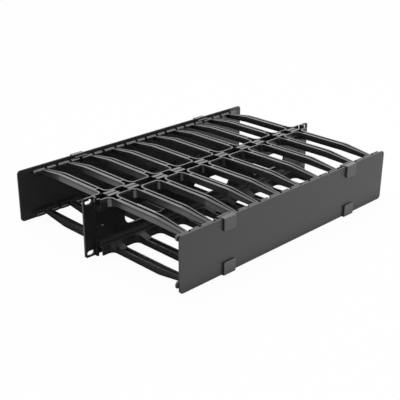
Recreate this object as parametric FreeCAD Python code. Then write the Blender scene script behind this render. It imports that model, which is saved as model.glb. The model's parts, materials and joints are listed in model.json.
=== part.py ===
import FreeCAD, Part
import math
import os
from FreeCAD import Vector

# Two-unit rack cable manager with covers on both sides. Millimetres, +X to the right, -Y to the front,
# +Z up. The origin is the centre of the rack hole pattern on the rear face of the ears.

# Rack panel
panel_width = 482.6
panel_height = 88.1
ear_width = 15.8
ear_thickness = 3.0
hole_inset_x = 8.75
hole_inset_z = 5.95
hole_slot_length = 12.0
hole_slot_width = 7.1
panel_corner_radius = 3.0
spine_thickness = 3.0
spine_forward = 7.0
spine_drop = 12.5
step_wall_thickness = 3.0
step_wall_clearance = 0.2
pass_hole_count = 3
pass_hole_spacing_bays = 3
pass_hole_width = 82.0
pass_hole_inset = 9.7
pass_hole_radius = 12.0
marker_hole_diameter = 3.4
marker_hole_inset = 8.5
shoulder_width = 6.0
shoulder_height = 40.0

# Finger row
finger_count = 10
finger_gap = 0.4
row_inset = 1.55
strip_drop = 20.0
seat_thickness = 2.6
seat_step_depth = 3.8
seat_step_height = 2.2
wall_reach = 10.2
wall_thickness = 2.2
wall_height = 13.4
trough_floor = 2.9
lower_row_rise = 1.3

# Finger
finger_width = 11.6
finger_offset = -1.7
finger_height = 9.5
finger_reach = 151.0
flange_width = 4.8
rib_thickness = 2.8
left_root_radius = 6.0
right_root_radius = 8.0
root_taper_length = 18.0
bend_reach = 104.0
bend_radius = 60.0
tip_drop = 7.0
tip_height = 6.5
tip_taper = 3.9
groove_taper = 2.6
groove_depth = 4.0
root_wall_thickness = 2.4
root_pocket_corner = 3.5
root_pocket_depth = 8.0
cross_rib_reach = 25.2
cross_rib_thickness = 2.2
under_channel_depth = 3.0
under_channel_wall = 2.4
under_channel_start = 30.0
lip_thickness = 1.7
lip_shadow_height = 0.9
lip_shadow_depth = 0.9

# Tab that hooks over the spine
tab_width = 19.4
tab_thickness = 1.6
tab_reach = 7.0
tab_split = 2.4
tab_post_thickness = 2.4
tab_rib_thickness = 2.0
tab_shift = 4.4
tab_sides = (1, -1, 1, -1, 0, 0, 1, -1, 1, -1)

# Cross bar on the finger's tip
bar_left_gap = 3.2
bar_right_gap = 1.3
bar_thickness = 3.0
bar_height = 9.0
bar_corner_radius = 4.0
bead_radius = 2.7
bead_end_round = 1.6
bar_drop = 4.5
bar_notch_left = 0.3
bar_notch_width = 4.6
bar_notch_depth = 3.2

# Covers
front_cover_overhang = 0.3
front_cover_shift = 0.55
rear_cover_overhang = 18.8
cover_drop = 1.9
cover_thickness = 2.6
cover_corner_radius = 6.0
cover_edge_round = 0.6
cover_clearance = 5.0

# Cover clips
clip_bays = 3
clip_offset = 1.4
lower_clip_offset = 0.4
clip_width = 22.4
clip_height = 18.8
clip_pad_thickness = 3.4
clip_pad_round = 1.2
clip_pad_corner = 2.4
clip_cap = 0.8
clip_leg_height = 11.0
clip_leg_thickness = 2.0
clip_web_height = 3.0
clip_hook_wall = 1.6
bead_clearance = 0.3
hook_wrap_degrees = 110.0
hook_foot_degrees = 20.0

# Levels and planes that follow from the values above
mid_y = -spine_forward
half_spine = spine_thickness / 2
hole_x = panel_width / 2 - hole_inset_x
hole_z = panel_height / 2 - hole_inset_z
step_outer_x = panel_width / 2 - ear_width
step_inner_x = step_outer_x - step_wall_thickness
row_length = 2 * (step_inner_x - step_wall_clearance) + finger_gap
finger_pitch = row_length / finger_count
base_width = finger_pitch - finger_gap
row_half_height = panel_height / 2 - row_inset
spine_half_height = row_half_height - spine_drop
strip_inner_height = row_half_height - strip_drop
pass_hole_height = 2 * (strip_inner_height - pass_hole_inset)
pass_hole_spacing = pass_hole_spacing_bays * finger_pitch
wall_inner = wall_reach - wall_thickness
wall_low = row_half_height - wall_height
floor_top = wall_low + trough_floor
step_top = strip_inner_height + seat_step_height
left_edge = finger_offset - finger_width / 2
right_edge = finger_offset + finger_width / 2
groove_left = left_edge + flange_width
groove_right = right_edge - rib_thickness
bar_middle = finger_reach + bar_thickness / 2
bar_top = row_half_height - bar_drop
bead_z = bar_top - bead_radius
bead_outer = bar_middle + bead_radius
cover_inner = bead_outer + cover_clearance
cover_outer = cover_inner + cover_thickness
half_cover = row_half_height - cover_drop
clip_top = half_cover + clip_cap
clip_x = clip_bays * finger_pitch


def block(x0, x1, s0, s1, z0, z1):
    """Box between two opposite corners."""
    return Part.makeBox(x1 - x0, s1 - s0, z1 - z0, Vector(x0, s0, z0))


def face_of(edges):
    """Flat face inside a closed chain of edges."""
    return Part.Face(Part.Wire(edges))


def polygon(points):
    """Closed chain of straight edges through the points."""
    ring = points + [points[0]]
    return [Part.makeLine(ring[i], ring[i + 1]) for i in range(len(points))]


def rounded_plate(width, height, radius, y0, y1, x=0.0, z=0.0):
    """Upright plate with rounded corners, centred on x, z."""
    plate = block(x - width / 2, x + width / 2, y0, y1, z - height / 2, z + height / 2)
    upright = [e for e in plate.Edges if abs(e.tangentAt(e.FirstParameter).y) > 0.9]
    return plate.makeFillet(radius, upright)


def rod(x0, x1, s, z, radius):
    """Round bar along X."""
    return Part.makeCylinder(radius, x1 - x0, Vector(x0, s, z), Vector(1, 0, 0))


def arc(centre, radius, start_degrees, end_degrees, z):
    """Arc in a level plane, counted from +X towards +Y."""
    points = []
    for share in (0.0, 0.5, 1.0):
        angle = math.radians(start_degrees + share * (end_degrees - start_degrees))
        points.append(Vector(centre[0] + radius * math.cos(angle), centre[1] + radius * math.sin(angle), z))
    return Part.Arc(*points).toShape()


def plan_solid(inset):
    """The finger and its flared wall seen from above, as a tall prism, pulled in by the inset."""
    x_left, x_right = left_edge + inset, right_edge - inset
    out = wall_reach - inset
    half = base_width / 2 - inset
    left_centre = (left_edge - left_root_radius, wall_reach + left_root_radius)
    right_centre = (right_edge + right_root_radius, wall_reach + right_root_radius)

    def line(a, b):
        return Part.makeLine(Vector(a[0], a[1], 0), Vector(b[0], b[1], 0))

    edges = [
        line((-half, wall_inner), (-half, out)),
        line((-half, out), (left_centre[0], out)),
        arc(left_centre, left_root_radius + inset, -90, 0, 0),
        line((x_left, left_centre[1]), (x_left, bend_reach)),
        line((x_left, bend_reach), (x_left + tip_taper, finger_reach)),
        line((x_left + tip_taper, finger_reach), (x_right, finger_reach)),
        line((x_right, finger_reach), (x_right, right_centre[1])),
        arc(right_centre, right_root_radius + inset, 180, 270, 0),
        line((right_centre[0], out), (half, out)),
        line((half, out), (half, wall_inner)),
        line((half, wall_inner), (-half, wall_inner)),
    ]
    return face_of(edges).extrude(Vector(0, 0, panel_height / 2))


def outer_line(shift):
    """The finger's outer face seen from the side: level, a bend, then down to the tip, as edges."""
    level = row_half_height - shift
    slope = math.atan2(tip_drop, finger_reach - bend_reach)
    run = bend_radius * math.tan(slope / 2)
    centre = Vector(0, bend_reach - run, level - bend_radius)
    middle = centre + Vector(0, bend_radius * math.sin(slope / 2), bend_radius * math.cos(slope / 2))
    start = Vector(0, wall_inner, level)
    bend_in = Vector(0, bend_reach - run, level)
    bend_out = Vector(0, bend_reach + run * math.cos(slope), level - run * math.sin(slope))
    tip = Vector(0, finger_reach, level - tip_drop)
    return [Part.makeLine(start, bend_in), Part.Arc(bend_in, middle, bend_out).toShape(),
            Part.makeLine(bend_out, tip)], start, tip


def side_solid(x0, x1, top_shift, low_points):
    """Prism along X under the outer line, closed by points that run from the tip back to the root."""
    edges, start, tip = outer_line(top_shift)
    chain = [tip] + [Vector(0, s, z) for s, z in low_points] + [start]
    edges += [Part.makeLine(chain[i], chain[i + 1]) for i in range(len(chain) - 1)]
    solid = face_of(edges).extrude(Vector(x1 - x0, 0, 0))
    solid.translate(Vector(x0, 0, 0))
    return solid


def band(x0, x1, top_shift, low_shift, s0, s1):
    """Strip of even depth that follows the outer line between two reaches."""
    upper = side_solid(x0, x1, top_shift, [(finger_reach, 0), (wall_inner, 0)])
    lower = side_solid(x0, x1, low_shift, [(finger_reach, 0), (wall_inner, 0)])
    return upper.cut(lower).common(block(x0, x1, s0, s1, 0, panel_height))


def finger_beam():
    """Finger with its flared root wall, grooved outside and channelled inside."""
    half = base_width / 2
    beam_low = row_half_height - finger_height
    tip_low = row_half_height - tip_drop - tip_height
    low_points = [(finger_reach, tip_low), (bend_reach, beam_low),
                  (wall_reach + root_taper_length, beam_low),
                  (wall_reach, wall_low), (wall_inner, wall_low)]
    beam = plan_solid(0).common(side_solid(-half, half, 0, low_points))

    shadow = plan_solid(0).cut(plan_solid(lip_shadow_depth))
    shadow = shadow.common(band(-half, half, lip_thickness, lip_thickness + lip_shadow_height,
                                wall_inner, finger_reach - lip_shadow_depth))
    beam = beam.cut(shadow)

    groove_start = cross_rib_reach + cross_rib_thickness / 2
    groove_end = finger_reach - rib_thickness
    groove = band(left_edge, groove_right, -1, groove_depth, groove_start, groove_end).common(groove_plan())
    return beam.cut(groove).cut(under_channel(beam_low, tip_low))


def groove_plan():
    """The groove's outline seen from above, narrower past the bend, as a tall prism."""
    corners = [(groove_left, 0), (groove_right, 0), (groove_right, finger_reach),
               (groove_left + groove_taper, finger_reach), (groove_left, bend_reach)]
    return face_of(polygon([Vector(x, s, 0) for x, s in corners])).extrude(Vector(0, 0, panel_height / 2))


def root_pocket():
    """Pocket between the two flared walls of the finger's root, from the trough to the cross rib."""
    end = cross_rib_reach - cross_rib_thickness / 2
    floor = row_half_height - root_pocket_depth
    left_centre = (left_edge - left_root_radius, wall_reach + left_root_radius)
    right_centre = (right_edge + right_root_radius, wall_reach + right_root_radius)
    left_radius = left_root_radius + root_wall_thickness
    right_radius = right_root_radius + rib_thickness
    corners = [Vector(right_centre[0] - right_radius, right_centre[1], floor),
               Vector(right_centre[0] - right_radius, end, floor),
               Vector(left_centre[0] + left_radius, end, floor),
               Vector(left_centre[0] + left_radius, left_centre[1], floor)]
    feet = [Vector(left_centre[0], left_centre[1] - left_radius, floor),
            Vector(right_centre[0], right_centre[1] - right_radius, floor)]
    edges = [Part.makeLine(corners[i], corners[i + 1]) for i in range(3)]
    edges += [arc(left_centre, left_radius, 0, -90, floor), Part.makeLine(feet[0], feet[1]),
              arc(right_centre, right_radius, 270, 180, floor)]
    pocket = face_of(edges).extrude(Vector(0, 0, wall_height))
    far = [e for e in pocket.Edges
           if abs(e.tangentAt(e.FirstParameter).z) > 0.9 and abs(e.CenterOfMass.y - end) < 0.01
           and e.CenterOfMass.x < finger_offset]
    return pocket.makeFillet(root_pocket_corner, far)


def under_channel(beam_low, tip_low):
    """Shallow channel along the finger's inner face, between two side walls."""
    end = finger_reach - under_channel_wall
    slope = (tip_low - beam_low) / (finger_reach - bend_reach)
    top = beam_low + under_channel_depth
    corners = [(under_channel_start, 0), (end, 0), (end, top + slope * (end - bend_reach)),
               (bend_reach, top), (under_channel_start, top)]
    face = face_of(polygon([Vector(left_edge, s, z) for s, z in corners]))
    return face.extrude(Vector(finger_width, 0, 0)).common(plan_solid(under_channel_wall))


def finger_base():
    """Stepped seat on the panel with an open trough and a wall in front."""
    half = base_width / 2
    seat_out = half_spine + seat_thickness
    step_out = seat_out + seat_step_depth
    profile = [(half_spine, strip_inner_height), (seat_out, strip_inner_height), (seat_out, step_top),
               (step_out, step_top), (step_out, wall_low), (wall_reach, wall_low),
               (wall_reach, row_half_height), (wall_inner, row_half_height), (wall_inner, floor_top),
               (half_spine, floor_top)]
    face = face_of(polygon([Vector(-half, s, z) for s, z in profile]))
    base = face.extrude(Vector(base_width, 0, 0))
    shadow_top = row_half_height - lip_thickness
    return base.cut(block(-half, half, wall_reach - lip_shadow_depth, wall_reach,
                          shadow_top - lip_shadow_height, shadow_top))


def spine_tab(shift):
    """Tab over the spine, on a post, with a rib from each end to the wall beside the finger's root."""
    left, right = shift - tab_width / 2, shift + tab_width / 2
    low = row_half_height - tab_thickness
    tab = block(left, right, half_spine, half_spine + tab_post_thickness, floor_top, row_half_height)
    tab = tab.fuse(block(left, right, tab_split / 2, tab_reach, low, row_half_height))
    foot_left, foot_right = left_edge - right_root_radius, right_edge + right_root_radius
    for at_tab, at_wall in ((left, foot_left), (right - tab_rib_thickness, foot_right)):
        corners = [(at_tab, half_spine), (at_tab + tab_rib_thickness, half_spine),
                   (at_tab + tab_rib_thickness, tab_reach), (at_wall + tab_rib_thickness, wall_inner),
                   (at_wall, wall_inner), (at_tab, tab_reach)]
        rib = face_of(polygon([Vector(x, s, floor_top) for x, s in corners]))
        tab = tab.fuse(rib.extrude(Vector(0, 0, row_half_height - floor_top)))
    return tab


def cross_bar(left_gap, right_gap):
    """Cross bar with rounded lower corners and a round bead, notched at the finger's rib."""
    left, right = left_gap - finger_pitch / 2, finger_pitch / 2 - right_gap
    low = bar_top - bar_height
    plate = block(left, right, finger_reach, finger_reach + bar_thickness, low, bead_z)
    corners = [e for e in plate.Edges
               if abs(e.tangentAt(e.FirstParameter).y) > 0.9 and e.CenterOfMass.z < low + 0.1]
    plate = plate.makeFillet(bar_corner_radius, corners)
    bead = rod(left, right, bar_middle, bead_z, bead_radius)
    ends = [e for e in bead.Edges
            if min(abs(e.CenterOfMass.x - left), abs(e.CenterOfMass.x - right)) < 0.01]
    notch = block(bar_notch_left, bar_notch_left + bar_notch_width, bar_middle - bead_radius,
                  bead_outer, bar_top - bar_notch_depth, bar_top)
    return plate.fuse(bead.makeFillet(bead_end_round, ends)).cut(notch)


def finger(tab_place, left_gap, right_gap):
    """One whole finger moulding, in the middle bay, on the rear and upper side."""
    root = finger_base().fuse(finger_beam()).cut(root_pocket())
    return root.fuse(spine_tab(tab_place)).fuse(cross_bar(left_gap, right_gap)).removeSplitter()


def pad_blank():
    """Face pad of a clip with its inner corners and its outer edges rounded."""
    half = clip_width / 2
    low, front = clip_top - clip_height, cover_outer + clip_pad_thickness
    pad = block(-half, half, cover_outer, front, low, clip_top)
    corners = [e for e in pad.Edges
               if abs(e.tangentAt(e.FirstParameter).y) > 0.9 and abs(e.CenterOfMass.z - low) < 0.01]
    pad = pad.makeFillet(clip_pad_corner, corners)
    edges = [e for e in pad.Edges if abs(e.CenterOfMass.y - front) < 0.01]
    return pad.makeFillet(clip_pad_round, edges)


def ring_sector(centre, inner, outer, start_degrees, end_degrees, length):
    """Part of a ring in the upright plane across the panel, centred on x = 0; angles rise from +Y to +Z."""
    def point(radius, degrees):
        angle = math.radians(degrees)
        reach, height = radius * math.cos(angle), radius * math.sin(angle)
        return Vector(-length / 2, centre[0] + reach, centre[1] + height)

    middle = (start_degrees + end_degrees) / 2
    edges = [
        Part.Arc(point(outer, start_degrees), point(outer, middle), point(outer, end_degrees)).toShape(),
        Part.makeLine(point(outer, end_degrees), point(inner, end_degrees)),
        Part.Arc(point(inner, end_degrees), point(inner, middle), point(inner, start_degrees)).toShape(),
        Part.makeLine(point(inner, start_degrees), point(outer, start_degrees)),
    ]
    return face_of(edges).extrude(Vector(length, 0, 0))


def clip(bead_level):
    """Clip that grips the cover's edge and hooks over the beads at their level, on the upper side."""
    half = clip_width / 2
    bore = bead_radius + bead_clearance
    leg_inner = cover_inner - clip_leg_thickness
    cap = block(-half, half, leg_inner, cover_outer, half_cover, clip_top)
    leg = block(-half, half, leg_inner, cover_inner, half_cover - clip_leg_height, half_cover)
    web_low = bead_level - clip_web_height / 2
    web = block(-half, half, bar_middle, leg_inner, web_low, web_low + clip_web_height)
    web = web.cut(rod(-half, half, bar_middle, bead_level, bore))
    hook = ring_sector((bar_middle, bead_level), bore, bore + clip_hook_wall,
                       -hook_foot_degrees, hook_wrap_degrees, clip_width)
    return pad_blank().fuse(cap).fuse(leg).fuse(web).fuse(hook).removeSplitter()


def cover(overhang):
    """Flat cover with rounded corners, on the rear side, wider than the row by the overhang at each end."""
    width = row_length + 2 * overhang
    plate = rounded_plate(width, 2 * half_cover, cover_corner_radius, cover_inner, cover_outer)
    rim = [e for e in plate.Edges if abs(e.CenterOfMass.y - cover_outer) < 0.01]
    return plate.makeFillet(cover_edge_round, rim)


def ears():
    """Both slotted ears, with rounded outer corners."""
    plate = rounded_plate(panel_width, panel_height, panel_corner_radius, -ear_thickness, 0)
    plate = plate.cut(block(-step_inner_x, step_inner_x, -ear_thickness, 0, -panel_height, panel_height))
    for x in (-hole_x, hole_x):
        for z in (-hole_z, hole_z):
            plate = plate.cut(slot(x, z))
    return plate


def slot(x, z):
    """Round-ended slot through an ear, along X."""
    radius = hole_slot_width / 2
    reach = hole_slot_length / 2 - radius
    cutter = block(x - reach, x + reach, -ear_thickness, 0, z - radius, z + radius)
    for end in (x - reach, x + reach):
        foot = Vector(end, -ear_thickness, z)
        cutter = cutter.fuse(Part.makeCylinder(radius, ear_thickness, foot, Vector(0, 1, 0)))
    return cutter


def rack_panel():
    """Panel whose spine stands forward of the ears, joined to them by a step wall at each end."""
    front, back = mid_y - half_spine, mid_y + half_spine
    panel = block(-step_outer_x, step_outer_x, front, back, -spine_half_height, spine_half_height)
    for side in (-1, 1):
        x0, x1 = sorted((side * step_inner_x, side * step_outer_x))
        panel = panel.fuse(block(x0, x1, front, 0, -panel_height / 2, panel_height / 2))
        x0, x1 = sorted((side * (step_inner_x - shoulder_width), side * step_inner_x))
        panel = panel.fuse(block(x0, x1, front, back, -shoulder_height, shoulder_height))
    first = -(pass_hole_count - 1) / 2
    for i in range(pass_hole_count):
        panel = panel.cut(rounded_plate(pass_hole_width, pass_hole_height, pass_hole_radius,
                                        front, back, (first + i) * pass_hole_spacing))
    for side in (-1, 1):
        foot = Vector(side * (step_inner_x - marker_hole_inset), front, 0)
        marker = Part.makeCylinder(marker_hole_diameter / 2, spine_thickness, foot, Vector(0, 1, 0))
        panel = panel.cut(marker)
    return panel.fuse(ears()).removeSplitter()


def placed(shape, row, level, x=0.0, z=0.0, turned=False):
    """Copy of a rear, upper shape, put on the row and level that are named, mirrored or turned over."""
    copy = shape.copy()
    if row == "front":
        copy = copy.mirror(Vector(0, 0, 0), Vector(0, 1, 0))
    if level == "bottom":
        copy = copy.mirror(Vector(0, 0, 0), Vector(0, 0, 1))
    if turned:
        copy = copy.mirror(Vector(0, 0, 0), Vector(1, 0, 0))
    copy.translate(Vector(x, mid_y, z))
    return copy


def add_row(pieces, row, level):
    """The fingers and clips of one row; the lower fingers are the upper ones turned over."""
    lower = level == "bottom"
    hand = -1 if lower else 1
    gaps = (bar_right_gap, bar_left_gap) if lower else (bar_left_gap, bar_right_gap)
    shapes = {side: finger(hand * side * tab_shift, *gaps) for side in sorted(set(tab_sides))}
    rise = lower_row_rise if lower else 0.0
    for i in range(finger_count):
        x = (i - (finger_count - 1) / 2) * finger_pitch
        shape = shapes[tab_sides[i % len(tab_sides)]]
        pieces[f"{row}_{level}_finger_{i + 1:02d}"] = placed(shape, row, level, x, rise, lower)
    clip_shape = clip(bead_z - rise)
    offset = (lower_clip_offset if lower else clip_offset) * (-1 if row == "front" else 1)
    for side, name in ((-1, "left"), (1, "right")):
        pieces[f"{row}_{level}_{name}_clip"] = placed(clip_shape, row, level, side * clip_x + offset)


def build():
    """All pieces by name."""
    pieces = {"rack_panel": rack_panel()}
    for row, overhang, shift in (("front", front_cover_overhang, front_cover_shift),
                                 ("rear", rear_cover_overhang, 0.0)):
        for level in ("top", "bottom"):
            add_row(pieces, row, level)
        pieces[f"{row}_cover"] = placed(cover(overhang), row, "top", shift)
    return pieces


os.makedirs("parts", exist_ok=True)
for name, shape in build().items():
    if not shape.isValid() or len(shape.Solids) != 1:
        raise ValueError(f"{name}: {len(shape.Solids)} solids, valid {shape.isValid()}")
    shape.Solids[0].exportStep(f"parts/{name}.step")
    print(name, round(shape.Volume / 1000, 2), "cm3")
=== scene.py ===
import json
import math
import bpy
from mathutils import Matrix, Vector


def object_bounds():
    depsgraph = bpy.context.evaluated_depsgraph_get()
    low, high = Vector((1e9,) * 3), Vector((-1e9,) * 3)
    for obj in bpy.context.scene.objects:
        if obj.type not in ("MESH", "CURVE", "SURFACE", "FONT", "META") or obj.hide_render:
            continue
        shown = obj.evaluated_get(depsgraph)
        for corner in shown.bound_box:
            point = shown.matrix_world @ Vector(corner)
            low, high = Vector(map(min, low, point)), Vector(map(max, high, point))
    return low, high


# Rack cable manager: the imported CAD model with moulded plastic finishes, on a white studio floor.

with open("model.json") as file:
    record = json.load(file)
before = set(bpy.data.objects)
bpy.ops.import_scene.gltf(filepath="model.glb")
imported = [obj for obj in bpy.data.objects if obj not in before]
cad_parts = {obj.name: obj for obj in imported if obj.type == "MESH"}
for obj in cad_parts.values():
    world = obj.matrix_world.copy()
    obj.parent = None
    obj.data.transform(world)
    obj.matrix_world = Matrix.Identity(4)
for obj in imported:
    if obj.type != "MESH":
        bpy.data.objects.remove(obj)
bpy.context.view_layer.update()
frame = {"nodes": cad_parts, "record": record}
print("frame loaded:", len(frame["nodes"]), "nodes")


# small helpers for node trees

def addNode(tree, kind, at=(0, 0), **values):
    node = tree.nodes.new(kind)
    node.location = at
    for key, value in values.items():
        setattr(node, key, value)
    return node


def startGroup(name, inputs, outputs):
    # a shader node group with named inputs (kind and start value) and outputs (kind)
    tree = bpy.data.node_groups.new(name, "ShaderNodeTree")
    for label, (kind, value) in inputs.items():
        socket = tree.interface.new_socket(name=label, in_out="INPUT", socket_type=kind)
        socket.default_value = value
    for label, kind in outputs.items():
        tree.interface.new_socket(name=label, in_out="OUTPUT", socket_type=kind)
    return tree, addNode(tree, "NodeGroupInput", (-900, 0)), addNode(tree, "NodeGroupOutput", (900, 0))


def mathNode(tree, operation, first, second=None, third=None, clamp=False):
    node = addNode(tree, "ShaderNodeMath", operation=operation, use_clamp=clamp)
    for i, value in enumerate((first, second, third)):
        if value is None:
            continue
        if isinstance(value, (int, float)):
            node.inputs[i].default_value = value
        else:
            tree.links.new(value, node.inputs[i])
    return node.outputs[0]


def makeMouldGrain():
    # spark-eroded mould texture: two sizes of fine noise on Object coordinates, as a height and a mask
    tree, inside, out = startGroup("mouldGrain",
                                   {"Size": ("NodeSocketFloat", 0.0006), "Amount": ("NodeSocketFloat", 0.5)},
                                   {"Height": "NodeSocketFloat", "Mask": "NodeSocketFloat"})
    where = addNode(tree, "ShaderNodeTexCoord")
    scale = mathNode(tree, "DIVIDE", 1.0, inside.outputs["Size"])
    fine = addNode(tree, "ShaderNodeTexNoise", noise_dimensions="3D")
    fine.inputs["Detail"].default_value = 2.0
    fine.inputs["Roughness"].default_value = 0.6
    coarse = addNode(tree, "ShaderNodeTexNoise", noise_dimensions="3D")
    coarse.inputs["Detail"].default_value = 1.0
    tree.links.new(where.outputs["Object"], fine.inputs["Vector"])
    tree.links.new(where.outputs["Object"], coarse.inputs["Vector"])
    tree.links.new(scale, fine.inputs["Scale"])
    tree.links.new(mathNode(tree, "MULTIPLY", scale, 0.31), coarse.inputs["Scale"])
    both = mathNode(tree, "ADD", mathNode(tree, "MULTIPLY", fine.outputs[0], 0.7),
                    mathNode(tree, "MULTIPLY", coarse.outputs[0], 0.3))
    centred = mathNode(tree, "SUBTRACT", both, 0.5)
    tree.links.new(mathNode(tree, "MULTIPLY", centred, inside.outputs["Amount"]), out.inputs["Height"])
    tree.links.new(mathNode(tree, "MULTIPLY_ADD", centred, 2.0, 0.5, clamp=True), out.inputs["Mask"])
    return tree


def makeFlowMarks():
    # slow cloudy changes left by the moulding, stretched along one axis, from 0 to 1
    tree, inside, out = startGroup("flowMarks",
                                   {"Scale": ("NodeSocketFloat", 9.0), "Stretch": ("NodeSocketFloat", 0.3)},
                                   {"Mask": "NodeSocketFloat"})
    where = addNode(tree, "ShaderNodeTexCoord")
    stretch = addNode(tree, "ShaderNodeCombineXYZ")
    stretch.inputs[1].default_value = 1.0
    stretch.inputs[2].default_value = 1.0
    tree.links.new(inside.outputs["Stretch"], stretch.inputs[0])
    turned = addNode(tree, "ShaderNodeVectorMath", operation="MULTIPLY")
    tree.links.new(where.outputs["Object"], turned.inputs[0])
    tree.links.new(stretch.outputs[0], turned.inputs[1])
    cloud = addNode(tree, "ShaderNodeTexNoise", noise_dimensions="3D")
    cloud.inputs["Detail"].default_value = 4.0
    cloud.inputs["Distortion"].default_value = 0.6
    tree.links.new(turned.outputs[0], cloud.inputs["Vector"])
    tree.links.new(inside.outputs["Scale"], cloud.inputs["Scale"])
    ramp = addNode(tree, "ShaderNodeMapRange", interpolation_type="SMOOTHSTEP")
    ramp.inputs["From Min"].default_value = 0.3
    ramp.inputs["From Max"].default_value = 0.7
    tree.links.new(cloud.outputs[0], ramp.inputs["Value"])
    tree.links.new(ramp.outputs[0], out.inputs["Mask"])
    return tree


def makeBandMask():
    # 1 within Far of a middle plane on either side, fading to 0 over the last Soft before it
    tree, inside, out = startGroup("bandMask",
                                   {"Coordinate": ("NodeSocketFloat", 0.0), "Middle": ("NodeSocketFloat", 0.0),
                                    "Far": ("NodeSocketFloat", 0.01), "Soft": ("NodeSocketFloat", 0.0005)},
                                   {"Mask": "NodeSocketFloat"})
    gap = mathNode(tree, "ABSOLUTE", mathNode(tree, "SUBTRACT", inside.outputs["Coordinate"],
                                              inside.outputs["Middle"]))
    within = mathNode(tree, "DIVIDE", mathNode(tree, "SUBTRACT", inside.outputs["Far"], gap),
                      inside.outputs["Soft"], clamp=True)
    tree.links.new(within, out.inputs["Mask"])
    return tree


mouldGrain = makeMouldGrain()
flowMarks = makeFlowMarks()
bandMask = makeBandMask()

grainShare, flowShare = 0.45, 0.55    # how much the grain and the flow marks each vary the colour

finishes = {
    # colours are linear; grain sizes, depths and distances in metres; ior sets the gloss
    # inner is a smoother side: its middle plane and reach along Y, and its roughness
    "panel": {"name": "glossyBlackPanel", "dark": (0.008, 0.008, 0.0085), "light": (0.014, 0.014, 0.0145),
              "smooth": 0.20, "rough": 0.28, "grain": 0.0011, "depth": 0.00002, "ior": 1.50, "flow": 11.0,
              "inner": None},
    "finger": {"name": "satinBlackFingers", "dark": (0.004, 0.004, 0.0045), "light": (0.009, 0.009, 0.0095),
               "smooth": 0.28, "rough": 0.38, "grain": 0.0012, "depth": 0.00002, "ior": 1.90, "flow": 16.0,
               "inner": None},
    "cover": {"name": "mattGreyCover", "dark": (0.018, 0.018, 0.019), "light": (0.030, 0.030, 0.031),
              "smooth": 0.36, "rough": 0.44, "grain": 0.0009, "depth": 0.00006, "ior": 1.55, "flow": 7.0,
              "inner": {"middle": -0.007, "reach": 0.1606, "rough": 0.22}},
    "clip": {"name": "smoothGreyClip", "dark": (0.006, 0.006, 0.0065), "light": (0.010, 0.010, 0.0105),
             "smooth": 0.26, "rough": 0.34, "grain": 0.0010, "depth": 0.00002, "ior": 1.80, "flow": 25.0,
             "inner": None},
}


def addInnerSide(tree, inner, roughness):
    # a moulded plate is grained outside and smooth inside, in the same colour
    where = addNode(tree, "ShaderNodeTexCoord", (-1300, 400))
    axes = addNode(tree, "ShaderNodeSeparateXYZ", (-1100, 400))
    tree.links.new(where.outputs["Object"], axes.inputs[0])
    band = addNode(tree, "ShaderNodeGroup", (-900, 400), node_tree=bandMask)
    for key, value in (("Middle", inner["middle"]), ("Far", inner["reach"])):
        band.inputs[key].default_value = value
    tree.links.new(axes.outputs["Y"], band.inputs["Coordinate"])
    mixer = addNode(tree, "ShaderNodeMix", (-200, 0), data_type="FLOAT")
    mixer.inputs["B"].default_value = inner["rough"]
    tree.links.new(roughness, mixer.inputs["A"])
    tree.links.new(band.outputs["Mask"], mixer.inputs["Factor"])
    return mixer.outputs["Result"]


def makeFinish(f):
    material = bpy.data.materials.new(f["name"])
    material.use_nodes = True
    tree = material.node_tree
    shader = tree.nodes["Principled BSDF"]
    shader.inputs["IOR"].default_value = f["ior"]
    flow = addNode(tree, "ShaderNodeGroup", (-700, 200), node_tree=flowMarks)
    flow.inputs["Scale"].default_value = f["flow"]
    grain = addNode(tree, "ShaderNodeGroup", (-700, -100), node_tree=mouldGrain)
    grain.inputs["Size"].default_value = f["grain"]
    grain.inputs["Amount"].default_value = 1.0
    colour = addNode(tree, "ShaderNodeMix", (-400, 200), data_type="RGBA")
    colour.inputs["A"].default_value = (*f["dark"], 1)
    colour.inputs["B"].default_value = (*f["light"], 1)
    share = mathNode(tree, "MULTIPLY_ADD", grain.outputs["Mask"], grainShare,
                     mathNode(tree, "MULTIPLY", flow.outputs["Mask"], flowShare))
    tree.links.new(share, colour.inputs["Factor"])
    rough = addNode(tree, "ShaderNodeMapRange", (-400, 0))
    rough.inputs["To Min"].default_value = f["smooth"]
    rough.inputs["To Max"].default_value = f["rough"]
    tree.links.new(flow.outputs["Mask"], rough.inputs["Value"])
    roughness = rough.outputs[0]
    if f["inner"]:
        roughness = addInnerSide(tree, f["inner"], roughness)
    tree.links.new(colour.outputs["Result"], shader.inputs["Base Color"])
    tree.links.new(roughness, shader.inputs["Roughness"])
    bump = addNode(tree, "ShaderNodeBump", (-400, -300))
    bump.inputs["Distance"].default_value = f["depth"]
    tree.links.new(grain.outputs["Height"], bump.inputs["Height"])
    tree.links.new(bump.outputs[0], shader.inputs["Normal"])
    return material


materials = {slot: makeFinish(f) for slot, f in finishes.items()}
slotOf = {part["node"]: part["material_slot"] for part in frame["record"]["subparts"]}
for node, piece in frame["nodes"].items():
    piece.data.materials.clear()
    piece.data.materials.append(materials[slotOf[node]])
print("finishes on", len(slotOf), "nodes")


studio = {
    "floorSize": 9.0,
    "floorColour": (0.95, 0.95, 0.95, 1),
    "whiteShare": 0.95,           # how much of the floor's look is plain white, the rest is its lit colour
    # the painted shadow on the floor under the object: its half size, soft edge and darkness
    "paintedShadowHalf": (0.235, 0.158),   # half the size of the floor patch under the object
    "paintedShadowSoft": 0.035,
    "paintedShadowDark": 0.06,             # what glossy rays see of the white there, in place of the object's shadow
    "worldFill": 0.55,            # world strength on the object
}


def seenRays(tree):
    # camera and transmission rays, then the same with glossy rays added
    path = addNode(tree, "ShaderNodeLightPath")
    straight = mathNode(tree, "ADD", path.outputs["Is Camera Ray"], path.outputs["Is Transmission Ray"])
    return straight, mathNode(tree, "ADD", straight, path.outputs["Is Glossy Ray"], clamp=True)


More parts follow.
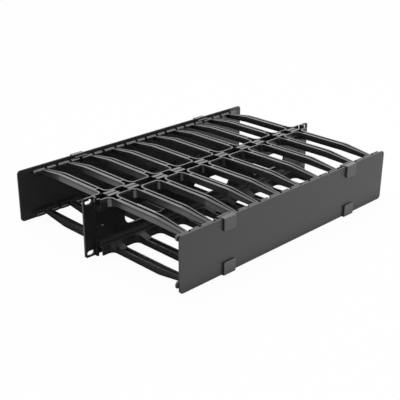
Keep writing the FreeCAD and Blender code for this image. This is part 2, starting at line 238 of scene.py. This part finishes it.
def paintedShadowPatch(tree):
    # a painted shadow on the floor: 1 away from the object, down to the dark value under it, from the floor's
    # own coordinates
    where = addNode(tree, "ShaderNodeTexCoord")
    axes = addNode(tree, "ShaderNodeSeparateXYZ")
    tree.links.new(where.outputs["Object"], axes.inputs[0])
    masks = []
    for axis, half in zip("XY", studio["paintedShadowHalf"]):
        band = addNode(tree, "ShaderNodeGroup", node_tree=bandMask)
        band.inputs["Far"].default_value = half + studio["paintedShadowSoft"]
        band.inputs["Soft"].default_value = studio["paintedShadowSoft"]
        tree.links.new(axes.outputs[axis], band.inputs["Coordinate"])
        masks.append(band.outputs["Mask"])
    paintedShadowMask = mathNode(tree, "MULTIPLY", *masks)
    return mathNode(tree, "MULTIPLY_ADD", paintedShadowMask, studio["paintedShadowDark"] - 1.0, 1.0)


def makeFloor():
    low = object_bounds()[0].z
    half = studio["floorSize"] / 2
    mesh = bpy.data.meshes.new("studioFloor")
    mesh.from_pydata([(-half, -half, low), (half, -half, low), (half, half, low), (-half, half, low)], [],
                     [(0, 1, 2, 3)])
    floor = bpy.data.objects.new("studioFloor", mesh)
    bpy.context.collection.objects.link(floor)
    material = bpy.data.materials.new("whiteFloor")
    material.use_nodes = True
    tree = material.node_tree
    tree.nodes.remove(tree.nodes["Principled BSDF"])
    paper = addNode(tree, "ShaderNodeBsdfDiffuse")
    paper.inputs["Color"].default_value = studio["floorColour"]
    glow = addNode(tree, "ShaderNodeEmission")
    straight, seen = seenRays(tree)
    # camera and transmission rays see plain white glow, glossy rays see it darkened by the painted shadow
    # under the object
    glowWithPaintedShadow = mathNode(tree, "MAXIMUM", straight, paintedShadowPatch(tree))
    tree.links.new(glowWithPaintedShadow, glow.inputs["Strength"])
    mix = addNode(tree, "ShaderNodeMixShader")
    tree.links.new(mathNode(tree, "MULTIPLY", seen, studio["whiteShare"]), mix.inputs[0])
    tree.links.new(paper.outputs[0], mix.inputs[1])
    tree.links.new(glow.outputs[0], mix.inputs[2])
    tree.links.new(mix.outputs[0], tree.nodes["Material Output"].inputs["Surface"])
    mesh.materials.append(material)


def makeWorld():
    world = bpy.data.worlds.new("studioWorld")
    bpy.context.scene.world = world
    world.use_nodes = True
    tree = world.node_tree
    sky = tree.nodes["Background"]
    sky.inputs["Color"].default_value = (1, 1, 1, 1)
    seen = seenRays(tree)[1]
    fill = studio["worldFill"]
    tree.links.new(mathNode(tree, "MULTIPLY_ADD", seen, 1.0 - fill, fill), sky.inputs["Strength"])


lamps = {
    # place, point it faces, width, height, strength in watts
    "rearSoftbox": {"at": (1.35, 1.55, 0.85), "to": (0, 0, 0), "wide": 2.6, "high": 0.55, "watts": 4.0},
    "overhead": {"at": (0, 0, 1.9), "to": (0, 0, 0), "wide": 1.6, "high": 1.6, "watts": 16},
    "frontFill": {"at": (1.4, -1.5, 1.1), "to": (0.1, -0.1, 0), "wide": 1.4, "high": 1.4, "watts": 8},
}


def makeLamp(name, l):
    data = bpy.data.lights.new(name, "AREA")
    data.shape = "RECTANGLE"
    data.size, data.size_y, data.energy = l["wide"], l["high"], l["watts"]
    lamp = bpy.data.objects.new(name, data)
    lamp.location = l["at"]
    lamp.rotation_euler = (Vector(l["to"]) - Vector(l["at"])).to_track_quat("-Z", "Y").to_euler()
    lamp.visible_camera = False
    bpy.context.collection.objects.link(lamp)


makeFloor()
makeWorld()
for name, l in lamps.items():
    makeLamp(name, l)
print("studio ready")


# the camera, solved on the panel's ears and the covers' corners
view = {"at": (-0.8304, -0.8080, 0.4691), "yaw": -45.19, "pitch": 23.29, "roll": 0.39, "focalPixels": 806.0}


def makeCamera(v, pixels=400, sensor=36.0):
    yaw, pitch, roll = (math.radians(v[k]) for k in ("yaw", "pitch", "roll"))
    ahead = Vector((-math.sin(yaw) * math.cos(pitch), math.cos(yaw) * math.cos(pitch), -math.sin(pitch)))
    right = Vector((math.cos(yaw), math.sin(yaw), 0))
    up = right.cross(ahead)
    turnedRight = math.cos(roll) * right + math.sin(roll) * up
    turnedUp = -math.sin(roll) * right + math.cos(roll) * up
    data = bpy.data.cameras.new("camera")
    data.sensor_width = sensor
    data.lens = v["focalPixels"] / pixels * sensor
    data.clip_start, data.clip_end = 0.05, 50
    camera = bpy.data.objects.new("camera", data)
    turn = Matrix((turnedRight, turnedUp, -ahead)).transposed().to_4x4()
    camera.matrix_world = Matrix.Translation(v["at"]) @ turn
    bpy.context.collection.objects.link(camera)
    bpy.context.scene.camera = camera


makeCamera(view)
bpy.context.scene.view_settings.view_transform = "Standard"
